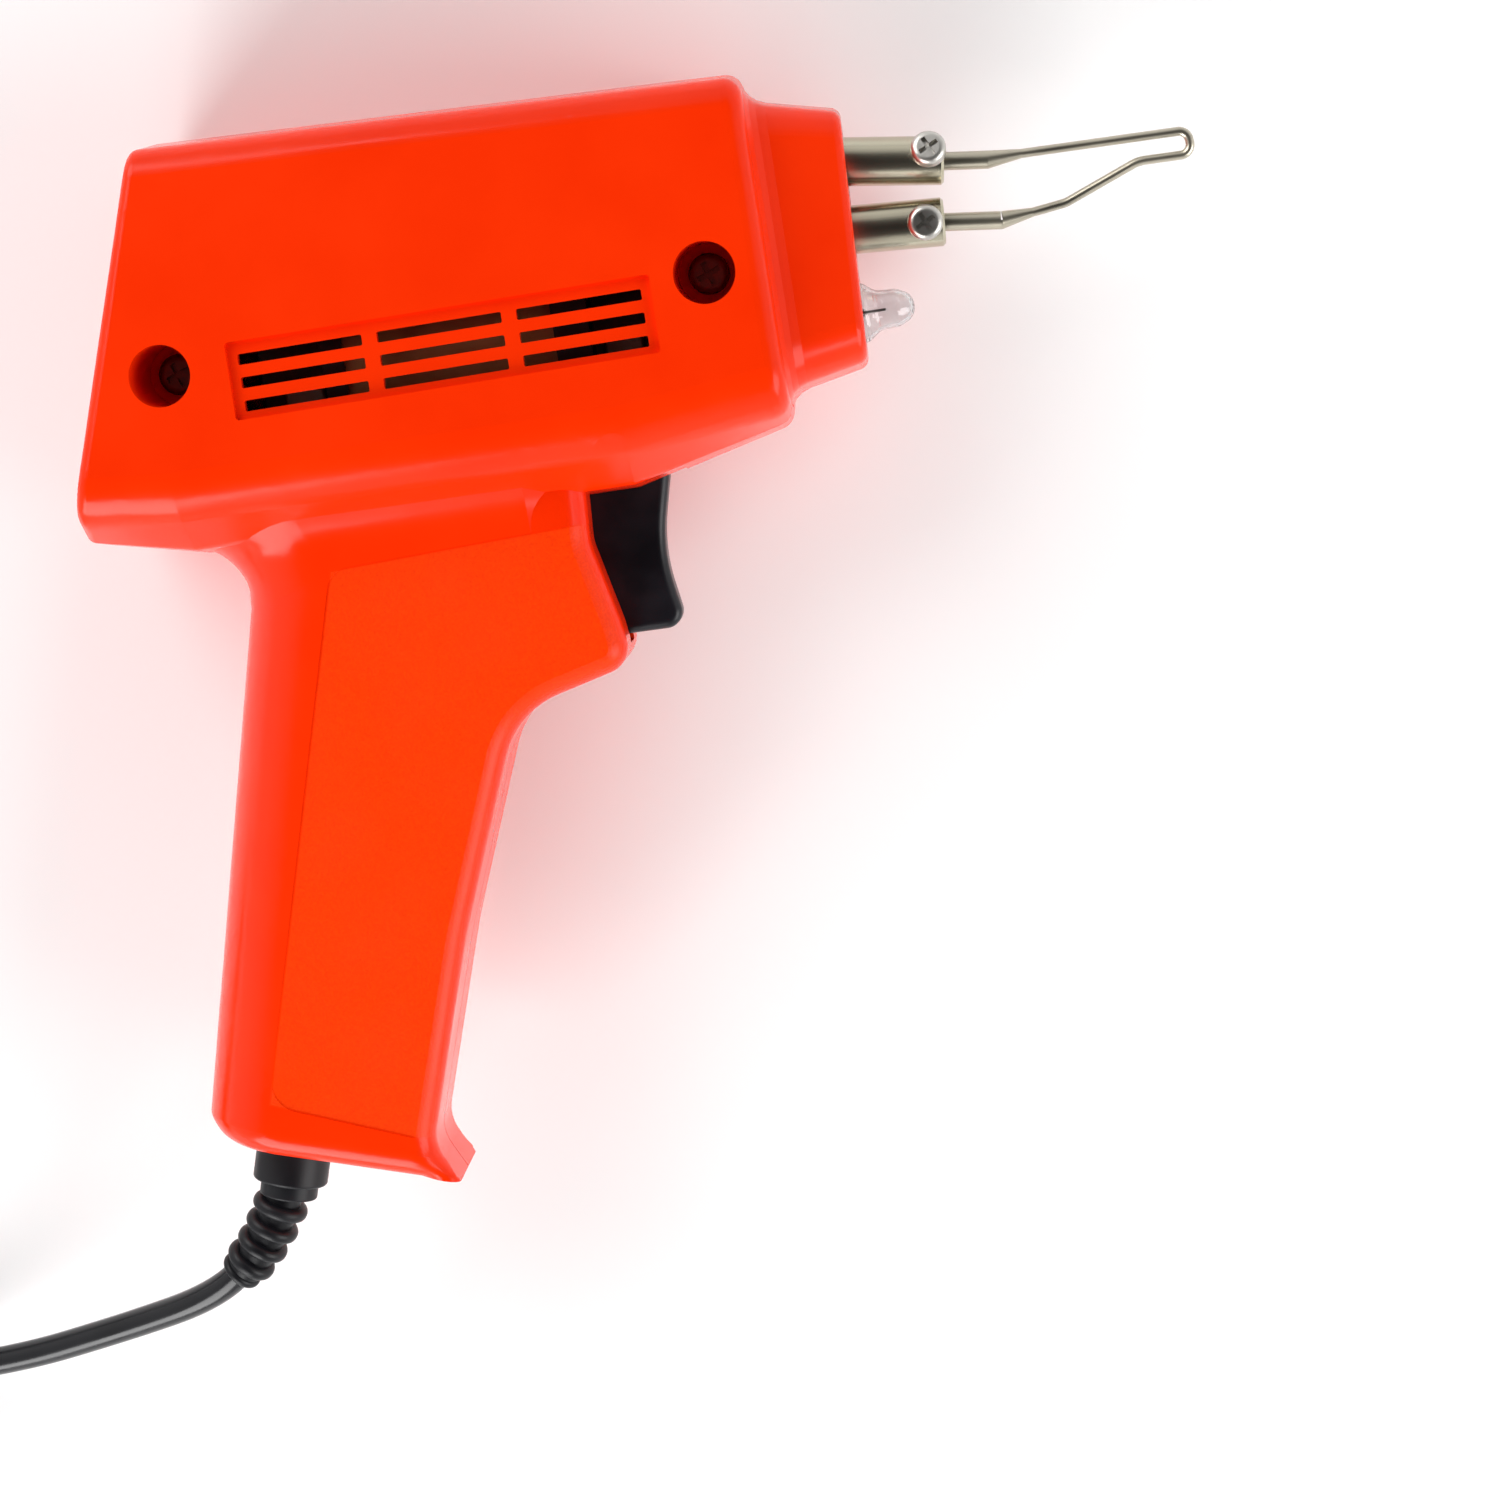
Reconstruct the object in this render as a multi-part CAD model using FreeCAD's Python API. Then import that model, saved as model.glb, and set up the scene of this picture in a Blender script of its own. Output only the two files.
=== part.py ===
import FreeCAD, Part
import math
import os

V = FreeCAD.Vector
os.makedirs("parts", exist_ok=True)

# ---------------------------------------------------------------- dimensions
# Gun frame while modelling: U runs along the housing towards the tip,
# V towards the top of the gun, W towards its right side; W = 0 is the
# parting plane of the two housing halves.

WALL = 2.2              # wall of the moulded housing
SIDE_DEG = 5.0          # taper of each side wall
SIDE_W = 25.2           # half width of the side wall at V = SIDE_V
SIDE_V = -10.0
TOP_FRONT = 44.2        # top line at the front rim
TOP_SLOPE = 0.042       # the top line rises towards the rear
RIM_U = -16.8           # front rim plane
REAR_LOW = (-135.5, -15.3)
REAR_HIGH = (-115.2, 48.6)
RIM_R = 3.0             # rounding of the rim and of the rear face

GRIP_W = 15.0           # half width of the grip
GRIP_RAKE = 0.26        # rear line of the grip, U per V
GRIP_REAR = (-112.5, -32.7)
GRIP_END = (-135.3, -116.3)   # end face of the grip: a point on it and its slope
GRIP_END_SLOPE = -0.305

SEAM_W = 0.34           # width of the parting groove
SEAM_D = 0.7

SCREW_REAR = (-116.0, 10.2)
SCREW_FRONT = (-27.0, 12.6)
RECESS_R = 5.0
RECESS_FLOOR = 5.0
BOSS_R = 6.9
BOSS_SPLIT = 2.0
BOSS_LEFT_R = 4.2

VENT = (-104.9, 1.2, -35.8, 13.75)     # u0, v0, u1, v1 of the recessed grille
VENT_DEPTH = 1.3
SLOT_L, SLOT_H = 20.3, 1.75
SLOT_PITCH_U, SLOT_PITCH_V = 22.75, 3.75
SLOT_U0, SLOT_V0 = -103.3, 9.9         # rear end, lower edge of the top slot

ROD_R = 4.0
ROD_UP_FACE, ROD_UP_END = (-1.4, 27.1), (13.8, 24.85)
ROD_LO_FACE, ROD_LO_END = (-1.8, 16.0), (12.4, 15.0)
ROD_BACK_U = -19.5
BORE_R = 2.25
SHANK_R = 1.5
SHANK_OFF = 0.6         # the shank is pressed away from the screw
BORE_DEPTH = 11.5
TIP_WIRE_R = 0.75
CLAMP_R = 1.5           # M3
CLAMP_HEAD_R = 2.9

INS_V0, INS_V1, INS_W = 11.3, 31.8, 5.0

LAMP_V = 2.35
LAMP_FACE_U = -2.7
LAMP_HOLE_R = 5.75

CORE_U0, CORE_U1 = -102.0, -35.7
CORE_V0, CORE_V1 = -1.5, 35.5
CORE_LIMB = 11.0
CORE_W = 9.5

PIVOT = (-46.0, -13.2)
TRIG_W = 3.6            # half width of the trigger
SLOT_W = 4.0            # half width of the trigger slot

CORD_D = 5.0
CORD_TOTAL = 1500.0
COIL_D = 55.0           # across at the middle of the turns
COIL_R = 7.6            # half thickness of the put-away bundle

PLUG_PIN_R = 2.0
PLUG_PIN_L = 19.0
PLUG_PIN_GAP = 18.6

EPS = 0.02


# ---------------------------------------------------------------- helpers
def rounded(points, to3d):
    """Closed wire through points (a, b, radius); radius 0 keeps the corner."""
    n = len(points)
    ends = []
    for i in range(n):
        a, b, r = points[i]
        if r <= 0:
            ends.append(((a, b), None, (a, b)))
            continue
        pa, pb, _ = points[i - 1]
        qa, qb, _ = points[(i + 1) % n]
        d1 = (pa - a, pb - b)
        d2 = (qa - a, qb - b)
        l1 = math.hypot(*d1)
        l2 = math.hypot(*d2)
        e1 = (d1[0] / l1, d1[1] / l1)
        e2 = (d2[0] / l2, d2[1] / l2)
        c = max(-1.0, min(1.0, e1[0] * e2[0] + e1[1] * e2[1]))
        half = math.acos(c) / 2.0
        t = r / math.tan(half)
        bis = (e1[0] + e2[0], e1[1] + e2[1])
        lb = math.hypot(*bis)
        bis = (bis[0] / lb, bis[1] / lb)
        m = r / math.sin(half) - r
        ends.append(((a + e1[0] * t, b + e1[1] * t),
                     (a + bis[0] * m, b + bis[1] * m),
                     (a + e2[0] * t, b + e2[1] * t)))
    edges = []
    for i in range(n):
        s, m, e = ends[i]
        nxt = ends[(i + 1) % n][0]
        if m is not None:
            edges.append(Part.Arc(to3d(*s), to3d(*m), to3d(*e)).toShape())
        if math.hypot(e[0] - nxt[0], e[1] - nxt[1]) > 1e-5:
            edges.append(Part.makeLine(to3d(*e), to3d(*nxt)))
    return Part.Wire(edges)


def prism(points, w0, w1):
    wire = rounded(points, lambda a, b: V(a, b, w0))
    return Part.Face(wire).extrude(V(0, 0, w1 - w0))


def box(u0, u1, v0, v1, w0, w1):
    return Part.makeBox(u1 - u0, v1 - v0, w1 - w0, V(u0, v0, w0))


def cyl(r, p, q):
    p, q = V(*p), V(*q)
    d = q.sub(p)
    return Part.makeCylinder(r, d.Length, p, d)


def cone(r1, r2, p, q):
    p, q = V(*p), V(*q)
    d = q.sub(p)
    return Part.makeCone(r1, r2, d.Length, p, d)


def soften(shape, pick, radii, label):
    """Round the picked edges with the first radius that gives a sound solid."""
    edges = [e for e in shape.Edges if pick(e)]
    if not edges:
        print("soften", label, "no edges")
        return shape
    for r in radii:
        try:
            s = shape.makeFillet(r, edges)
            if s.isValid() and s.Volume > 0 and abs(s.Volume / shape.Volume - 1) < 0.25:
                if s.ShapeType == "Compound" and len(s.Solids) == 1:
                    s = s.Solids[0]
                print("soften", label, r, "edges", len(edges))
                return s
        except Exception:
            pass
    print("soften", label, "left sharp", len(edges))
    return shape


def near(e, fn):
    return all(fn(e.valueAt(e.FirstParameter + (e.LastParameter - e.FirstParameter) * k))
               for k in (0.05, 0.5, 0.95))


def side_w(v, inset=0.0):
    t = math.tan(math.radians(SIDE_DEG))
    return SIDE_W - (v - SIDE_V) * t - inset / math.cos(math.radians(SIDE_DEG))


def top_v(u):
    return TOP_FRONT + (RIM_U - u) * TOP_SLOPE


def one(shape):
    if shape.ShapeType == "Compound" and len(shape.Solids) == 1:
        return shape.Solids[0]
    return shape


# ---------------------------------------------------------------- housing body
# (U, bottom centre V, shoulder (w, v), side corner V, side radius)
STATIONS = [
    (-143.0, -13.6, (11.0, -12.7), -10.0, 8.0),
    (-117.0, -19.8, (13.5, -18.6), -10.6, 9.0),
    (-44.0, -20.4, (13.5, -19.2), -11.6, 9.0),
    (RIM_U, -13.8, (11.0, -13.0), -11.0, 8.0),
]


def body_section(u, bot, sh, vb, rb, inset):
    top = top_v(u) - inset
    crown = 2.0
    va = top - crown
    a = (side_w(va, inset), va, max(5.0 - inset, 1.5))
    b = (side_w(vb + inset * 0.6, inset), vb + inset * 0.6, rb - inset)
    c = (sh[0] - inset * 0.3, sh[1] + inset, 4.0)
    pts = [(0.0, top, 0), a, b, c, (0.0, bot + inset, 0),
           (-c[0], c[1], c[2]), (-b[0], b[1], b[2]), (-a[0], a[1], a[2])]
    return rounded(pts, lambda w, v: V(u, v, w))


def body_solid(inset):
    wires = []
    for k, (u, bot, sh, vb, rb) in enumerate(STATIONS):
        uu = u
        if k == len(STATIONS) - 1:
            uu = u - inset
        wires.append(body_section(uu, bot, sh, vb, rb, inset))
    body = Part.makeLoft(wires, True, True)
    # slanted rear face
    du = REAR_HIGH[0] - REAR_LOW[0]
    dv = REAR_HIGH[1] - REAR_LOW[1]
    l = math.hypot(du, dv)
    n = (dv / l, -du / l)                  # points forward
    p = (REAR_LOW[0] + n[0] * inset, REAR_LOW[1] + n[1] * inset)
    e = (du / l, dv / l)
    cut = Part.Face(Part.makePolygon([
        V(p[0] - e[0] * 60, p[1] - e[1] * 60, -60),
        V(p[0] + e[0] * 130, p[1] + e[1] * 130, -60),
        V(p[0] + e[0] * 130 - n[0] * 60, p[1] + e[1] * 130 - n[1] * 60, -60),
        V(p[0] - e[0] * 60 - n[0] * 60, p[1] - e[1] * 60 - n[1] * 60, -60),
        V(p[0] - e[0] * 60, p[1] - e[1] * 60, -60)])).extrude(V(0, 0, 120))
    body = one(body.cut(cut))
    if inset == 0:
        def rim(e):
            return near(e, lambda q: q.x > RIM_U - 0.01)

        def rear(e):
            return near(e, lambda q: abs((q.x - p[0]) * n[0] + (q.y - p[1]) * n[1]) < 0.01)
        body = soften(body, rim, (RIM_R, 2.6, 2.2, 1.8), "rim")
        body = soften(body, rear, (RIM_R, 2.6, 2.2, 1.8), "rear")
    return body


# ---------------------------------------------------------------- nose
def nose_section(u, top, bot, wt, wb, rt, rb, lean):
    crown = 1.4
    pts = [(0.0, top, 0), (wt, top - crown, rt), (wb, bot + 1.6, rb), (0.0, bot, 0),
           (-wb, bot + 1.6, rb), (-wt, top - crown, rt)]
    return rounded(pts, lambda w, v: V(u + lean * (v - 15.0), v, w))


def nose_at(u, grow, lean=0.0):
    """Section of the nose at U, grown outwards by grow."""
    k = (u + 17.0) / 14.4

    def mix(p, q):
        return p + (q - p) * k
    g = grow
    return nose_section(u, mix(39.7, 35.9) + g, mix(-9.1, -6.5) - g,
                        mix(15.6, 12.0) + g, mix(19.8, 16.0) + g,
                        mix(6.0, 5.0) + g * 0.5, mix(7.0, 6.0) + g * 0.5, lean)


def nose_solid(inset):
    if inset:
        s = Part.makeLoft([nose_at(-21.5, -inset), nose_at(-2.6 - min(inset, 2.0), -inset, 0.04)], True, True)
        return s
    s = Part.makeLoft([nose_at(-18.6, 2.3), nose_at(RIM_U, 1.9), nose_at(-16.1, 0.9),
                       nose_at(-15.1, 0.3), nose_at(-13.6, 0.0), nose_at(-2.6, 0.0, 0.04)], True, True)
    return soften(s, lambda e: near(e, lambda q: abs(q.x - (-2.6 + 0.04 * (q.y - 15.0))) < 0.01),
                  (1.8, 1.4, 1.0), "nose face")


# ---------------------------------------------------------------- grip
def bottom_at(u):
    return GRIP_END[1] + GRIP_END_SLOPE * (u - GRIP_END[0])


GRIP_FRONT = [
    (-91.8, bottom_at(-91.8), 0), (-95.2, -122.6, 7.0), (-84.1, -89.0, 60.0),
    (-69.7, -53.2, 15.0), (-49.1, -48.2, 4.6), (-50.0, -41.0, 20.0),
    (-52.9, -27.5, 8.0), (-51.4, -4.0, 0),
]


def grip_solid(inset):
    rear = lambda v: GRIP_REAR[0] + (v - GRIP_REAR[1]) * GRIP_RAKE
    w = GRIP_W - inset
    pts = [(rear(-4.0) - 6.0, -4.0, 0), (rear(-119.0) - 8.0, bottom_at(rear(-119.0) - 8.0), 0)] + GRIP_FRONT
    face = Part.Face(rounded(pts, lambda a, b: V(a, b, -w)))
    if inset:
        wire = face.OuterWire.makeOffset2D(-inset)
        face = Part.Face(wire)
    s = face.extrude(V(0, 0, 2 * w))
    # rounded back: a column whose axis follows the rake
    g = V(-GRIP_RAKE, -1.0, 0)
    g.normalize()
    f = V(1.0, -GRIP_RAKE, 0)              # forward, square to the column
    f.normalize()
    o = V(rear(0.0), 0.0, 0).sub(g * 0.0)
    r = w
    start = o.add(g * -20.0).add(f * inset)
    depth = 14.0 - inset                   # semi-ellipse, slightly flatter than round
    def pt(a, b):
        return start.add(f * a).add(V(0, 0, b))
    c1 = pt(depth, r)
    c2 = pt(depth, -r)
    n = 9
    back = []
    for k in range(n):
        t = math.pi / 2 + math.pi * k / (n - 1)
        back.append(pt(depth + depth * math.cos(t), r * math.sin(t)))
    curve = Part.BSplineCurve()
    curve.interpolate(back, InitialTangent=f * -1.0, FinalTangent=f)
    d = Part.Wire([curve.toShape(), Part.makeLine(c2, pt(110, -r)),
                   Part.makeLine(pt(110, -r), pt(110, r)), Part.makeLine(pt(110, r), c1)])
    col = Part.Face(d).extrude(g * 190.0)
    s = one(s.common(col))
    if inset == 0:
        def front_edge(e):
            return near(e, lambda q: abs(abs(q.z) - w) < 0.01 and q.x > -97.0 and q.y < -18.0
                        and q.x > rear(q.y) + 20.0)

        def bottom_edge(e):
            return near(e, lambda q: abs(q.y - bottom_at(q.x)) < 0.02) and (
                near(e, lambda q: abs(abs(q.z) - w) < 0.01) or near(e, lambda q: q.x < -104.0))
        s = soften(s, lambda e: front_edge(e) or bottom_edge(e), (4.2, 3.6, 3.0, 2.4), "grip edges")
    return s


def root_solid():
    """Concave sweep where the underside of the body runs into the grip."""
    wires = []
    for v, off, side in ((-13.0, 14.0, 4.7), (-15.2, 12.0, 3.2), (-16.8, 10.6, 2.0), (-18.5, 9.0, 1.1),
                         (-20.0, 6.5, 0.55), (-22.4, 3.5, 0.15), (-25.2, 1.3, 0.0), (-28.0, 0.3, -0.1),
                         (-31.0, -0.3, -0.3)):
        ur = GRIP_REAR[0] + (v - GRIP_REAR[1]) * GRIP_RAKE - off
        depth = 14.5 + off * 0.5
        w = GRIP_W + side
        back = []
        for k in range(9):
            t = math.pi / 2 + math.pi * k / 8.0
            back.append(V(ur + depth + depth * math.cos(t), v, w * math.sin(t)))
        c = Part.BSplineCurve()
        c.interpolate(back, InitialTangent=V(-1, 0, 0), FinalTangent=V(1, 0, 0))
        m0, m1 = V(-62.0, v, -w), V(-62.0, v, w)
        p0, p1 = V(-55.2, v, -12.4 - side), V(-55.2, v, 12.4 + side)
        wires.append(Part.Wire([c.toShape(), Part.makeLine(back[-1], m0), Part.makeLine(m0, p0),
                                Part.makeLine(p0, p1), Part.makeLine(p1, m1), Part.makeLine(m1, back[0])]))
    return Part.makeLoft(wires, True, False)


outer = one(body_solid(0).fuse(nose_solid(0)))
outer = one(outer.fuse(grip_solid(0)))
outer = one(outer.fuse(root_solid()).removeSplitter())
print("outer", outer.ShapeType, outer.isValid(), round(outer.Volume), len(outer.Solids))

inner = one(body_solid(WALL).fuse(nose_solid(WALL)))
inner = one(inner.fuse(grip_solid(WALL)).removeSplitter())
print("inner", inner.isValid(), round(inner.Volume), len(inner.Solids))


# ---------------------------------------------------------------- shell halves
seam = outer.cut(one(body_solid(SEAM_D).fuse(nose_solid(SEAM_D)).fuse(grip_solid(SEAM_D))))
seam = seam.common(box(-160, 20, -150, 70, -SEAM_W / 2, SEAM_W / 2))

shell = one(outer.cut(inner))


def half(sign):
    lo, hi = (0.0, 40.0) if sign > 0 else (-40.0, 0.0)
    return shell.common(box(-170, 30, -160, 80, lo, hi))


def slots():
    cutters = []
    for c in range(3):
        for r in range(3):
            u = SLOT_U0 + c * SLOT_PITCH_U
            v = SLOT_V0 - r * SLOT_PITCH_V
            cutters.append(prism([(u, v, 0.3), (u + SLOT_L, v, 0.3), (u + SLOT_L, v + SLOT_H, 0.3),
                                  (u, v + SLOT_H, 0.3)], 15.0, 40.0))
    return cutters


def vent_recess():
    """Shallow recess of the grille, its floor parallel to the side wall."""
    u0, v0, u1, v1 = VENT
    p = prism([(u0, v0, 0.6), (u1, v0, 0.6), (u1, v1, 0.6), (u0, v1, 0.6)], 0.0, 60.0)
    t = math.tan(math.radians(SIDE_DEG))
    def floor_w(v):
        return side_w(v) - VENT_DEPTH
    k = Part.Face(Part.makePolygon([V(u0 - 5, v0 - 5, floor_w(v0 - 5)), V(u0 - 5, v1 + 5, floor_w(v1 + 5)),
                                    V(u0 - 5, v1 + 5, 80), V(u0 - 5, v0 - 5, 80),
                                    V(u0 - 5, v0 - 5, floor_w(v0 - 5))])).extrude(V(u1 - u0 + 10, 0, 0))
    return p.common(k)


def mirror(s):
    return s.mirror(V(0, 0, 0), V(0, 0, 1))


def vent_backing():
    """Thicker wall behind the grille so that the recess leaves a full wall."""
    u0, v0, u1, v1 = VENT
    k = prism([(u0 - 2, v0 - 2, 1), (u1 + 2, v0 - 2, 1), (u1 + 2, v1 + 2, 1), (u0 - 2, v1 + 2, 1)], 18.0, 40.0)
    lim = Part.Face(Part.makePolygon([V(u0 - 5, v0 - 5, side_w(v0 - 5) - 3.1), V(u0 - 5, v1 + 5, side_w(v1 + 5) - 3.1),
                                      V(u0 - 5, v1 + 5, side_w(v1 + 5) - 1.8), V(u0 - 5, v0 - 5, side_w(v0 - 5) - 1.8),
                                      V(u0 - 5, v0 - 5, side_w(v0 - 5) - 3.1)])).extrude(V(u1 - u0 + 10, 0, 0))
    return k.common(lim)


PAD = [(-123.5, 3.0, 9.5), (-113.5, 24.3, 9.5), (-19.8, 22.6, 8.5), (-20.0, -2.6, 10.0), (-118.5, -3.4, 11.5)]


def pad_solids():
    """Flat of the screw recesses and grille: proud along its top edge,
    let in along its lower edge."""
    t = math.tan(math.radians(SIDE_DEG - 2.2))
    w_at = lambda v: side_w(10.5) - (v - 10.5) * t
    add = prism(PAD, 19.0, 40.0)
    def slab(w_off0, w_off1):
        return Part.Face(Part.makePolygon([V(-140, -15, w_at(-15) + w_off0), V(-140, 40, w_at(40) + w_off0),
                                           V(-140, 40, w_at(40) + w_off1), V(-140, -15, w_at(-15) + w_off1),
                                           V(-140, -15, w_at(-15) + w_off0)])).extrude(V(130, 0, 0))
    return add.common(slab(-2.0, 0.0)), add.common(slab(0.0, 12.0))


# grained field of the grip's sides, a hair lower than the smooth rear column
GRIP_PANEL = [(-95.6, -25.2, 4.0), (-120.9, -111.4, 5.0), (-80.0, -127.4, 0), (-30.0, -60.0, 0), (-30.0, -23.4, 0)]
PANEL_D = 0.18


def grip_panel(sign):
    w0, w1 = (GRIP_W - PANEL_D, GRIP_W + 6) if sign > 0 else (-GRIP_W - 6, -GRIP_W + PANEL_D)
    return prism(GRIP_PANEL, w0, w1)


# trigger slot, nose openings and the neck of the strain relief
trig_slot = prism([(-62.0, -45.3, 0.5), (-34.0, -45.3, 0.5), (-34.0, -26.0, 0.5), (-37.4, -12.0, 0.5),
                   (-55.0, -12.0, 0.5), (-62.0, -26.0, 0.5)], -SLOT_W, SLOT_W)
rod_ax = {}
for key, f0, e0 in (("up", ROD_UP_FACE, ROD_UP_END), ("lo", ROD_LO_FACE, ROD_LO_END)):
    d = V(e0[0] - f0[0], e0[1] - f0[1], 0)
    d.normalize()
    b = V(f0[0], f0[1], 0).add(d * ((ROD_BACK_U - f0[0]) / d.x))
    rod_ax[key] = (b, V(e0[0], e0[1], 0), d)

ins_open = box(-12.0, 6.0, INS_V0, INS_V1, -INS_W, INS_W)
lamp_open = cyl(LAMP_HOLE_R, (-12.0, LAMP_V, 0), (6.0, LAMP_V, 0))

RELIEF = (-120.4, bottom_at(-120.4))
RELIEF_D = V(GRIP_END_SLOPE, -1.0, 0)
RELIEF_D.normalize()


def along(s, k=0.0):
    """Point on the axis of the strain relief, s outwards from the grip's end."""
    return V(RELIEF[0], RELIEF[1], 0).add(RELIEF_D * s)


def rcyl(r, s0, s1):
    p, q = along(s0), along(s1)
    return Part.makeCylinder(r, s1 - s0, p, RELIEF_D)


relief_hole = rcyl(5.0, -9.0, 6.0)

add_r, cut_r = pad_solids()
right = half(1)
right = right.fuse([add_r, vent_backing()])
right = right.cut(cut_r)
bosses = []
for (bu, bv) in (SCREW_REAR, SCREW_FRONT):
    tube = cyl(BOSS_R, (bu, bv, BOSS_SPLIT), (bu, bv, 26.0)).common(outer)
    right = right.fuse(tube)
    right = right.cut(cyl(RECESS_R, (bu, bv, RECESS_FLOOR), (bu, bv, 40.0)))
    right = right.cut(cyl(1.9, (bu, bv, 0.0), (bu, bv, 20.0)))
ribs_r = [box(-101.6, -99.4, 17.0, 34.0, CORE_W, 26.0).common(outer), box(-38.4, -36.2, 27.6, 34.5, CORE_W, 26.0).common(outer),
          box(-101.6, -99.4, -1.3, 0.3, CORE_W, 26.0).common(outer), box(-38.4, -36.2, -1.3, 0.3, CORE_W, 26.0).common(outer)]
lamp_rib = box(-12.6, -11.0, -5.0, 9.0, 0.0, 26.0).common(outer).cut(cyl(6.6, (-20, LAMP_V, 0), (0, LAMP_V, 0)))
# seat posts of the switch, of the trigger pin and of the spring
SW = (-80.0, -61.0, -38.0, -21.0, 6.0)     # switch body u0, u1, v0, v1, half width
sw_rib = box(-77.0, -75.0, -37.0, -22.0, SW[4], 16.0).common(outer)
sw_rib2 = box(-66.0, -64.0, -37.0, -22.0, SW[4], 16.0).common(outer)
pin_boss = cyl(3.0, (PIVOT[0], PIVOT[1], SLOT_W + 0.3), (PIVOT[0], PIVOT[1], 30.0)).common(outer)
pin_hole = cyl(1.52, (PIVOT[0], PIVOT[1], 0.0), (PIVOT[0], PIVOT[1], 8.0))
spring_seat = box(-69.0, -67.0, -45.0, -38.4, 0.0, 16.0).common(outer)
right = right.fuse(ribs_r + [lamp_rib, sw_rib, sw_rib2, pin_boss, spring_seat])
right = right.cut([pin_hole, vent_recess()] + slots())
right = right.cut([seam, trig_slot, ins_open, lamp_open, relief_hole, grip_panel(1)])
right = one(right)
print("right", right.ShapeType, right.isValid(), len(right.Solids), round(right.Volume))

left = half(-1)
left = left.fuse(mirror(vent_backing()))
for (bu, bv) in (SCREW_REAR, SCREW_FRONT):
    post = cyl(BOSS_LEFT_R, (bu, bv, -26.0), (bu, bv, BOSS_SPLIT)).common(outer)
    left = left.fuse(post)
    left = left.cut(cyl(1.5 + EPS, (bu, bv, -10.0), (bu, bv, BOSS_SPLIT + 1)))
ribs_l = [mirror(r) for r in ribs_r] + [mirror(r) for r in (lamp_rib, sw_rib, sw_rib2, pin_boss, spring_seat)]
# block under the cord clamp
g = RELIEF_D
CL = along(-11.5)                            # middle of the cord clamp
side = V(g.y, -g.x, 0)
m = FreeCAD.Matrix(side.x, g.x, 0, CL.x, side.y, g.y, 0, CL.y, 0, 0, 1, 0, 0, 0, 0, 1)


def at_clamp(s):
    return s.transformGeometry(m)


block = at_clamp(Part.makeBox(19.0, 7.0, 14.0, V(-9.5, -3.5, -16.5))).common(outer)
left = left.fuse(ribs_l + [block])
clamp_pos = []
for k in (-6.0, 6.0):
    q = CL.add(side * k)
    clamp_pos.append(q)
    left = left.cut(cyl(1.3 + EPS, (q.x, q.y, -9.0), (q.x, q.y, -2.0)))
left = left.cut([mirror(pin_hole), mirror(vent_recess())] + [mirror(c) for c in slots()])
left = left.cut([seam, trig_slot, ins_open, lamp_open, relief_hole, grip_panel(-1)])
# true plane on the resting side
tn = math.tan(math.radians(SIDE_DEG))
rest_cut = Part.Face(Part.makePolygon([V(-170, -40, -(side_w(-40) - 0.03)), V(-170, 70, -(side_w(70) - 0.03)),
                                       V(-170, 70, -60), V(-170, -40, -60),
                                       V(-170, -40, -(side_w(-40) - 0.03))])).extrude(V(200, 0, 0))
left = one(left.cut(rest_cut))
print("left", left.ShapeType, left.isValid(), len(left.Solids), round(left.Volume))

for k, q in enumerate(right.Solids):
    if q.Volume < 5000:
        c = q.CenterOfMass
        print("loose bit", k, round(q.Volume, 2), [round(x, 1) for x in (c.x, c.y, c.z)])
right = max(right.Solids, key=lambda q: q.Volume)

nodes = {"housing_right": right, "housing_left": left}

# ---------------------------------------------------------------- placement
LEAN = FreeCAD.Rotation(V(1, 0, 0), -SIDE_DEG)
REST_Z = (SIDE_W - 0.03) * math.cos(math.radians(SIDE_DEG)) + SIDE_V * math.sin(math.radians(SIDE_DEG))
ORIGIN_X = 40.954
ORIGIN_Y = 48.586


def tube(points, r, fillet=None, cap=False):
    """Round tube along straight runs joined by tangent arcs; radii set by the
    shorter of the two runs, or by fillet where one is given."""
    pts = [V(*p) if not isinstance(p, V) else p for p in points]
    edges, radii = [], []
    start = pts[0]
    for i in range(1, len(pts) - 1):
        d1 = pts[i].sub(pts[i - 1])
        d2 = pts[i + 1].sub(pts[i])
        turn = d1.getAngle(d2)
        t = 0.45 * min(d1.Length, d2.Length)
        rad = t / math.tan(turn / 2)
        if fillet is not None:
            rad = min(rad, fillet)
            t = rad * math.tan(turn / 2)
        radii.append(rad)
        d1.normalize()
        d2.normalize()
        a = pts[i].sub(d1 * t)
        b = pts[i].add(d2 * t)
        bis = d2.sub(d1)
        bis.normalize()
        mid = pts[i].add(bis * (rad / math.cos(turn / 2) - rad))
        edges.append(Part.LineSegment(start, a).toShape())
        edges.append(Part.Arc(a, mid, b).toShape())
        start = b
    edges.append(Part.LineSegment(start, pts[-1]).toShape())
    wire = Part.Wire(edges)
    d = pts[1].sub(pts[0])
    d.normalize()
    ring = Part.Wire([Part.Circle(pts[0], d, r).toShape()])
    pipe = wire.makePipeShell([ring], True, False)
    solid = Part.Solid(pipe) if pipe.ShapeType == "Shell" else pipe
    if solid.ShapeType == "Compound" and len(solid.Solids) == 1:
        solid = solid.Solids[0]
    if solid.Volume < 0:
        solid.reverse()
    return solid, wire, radii


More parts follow.
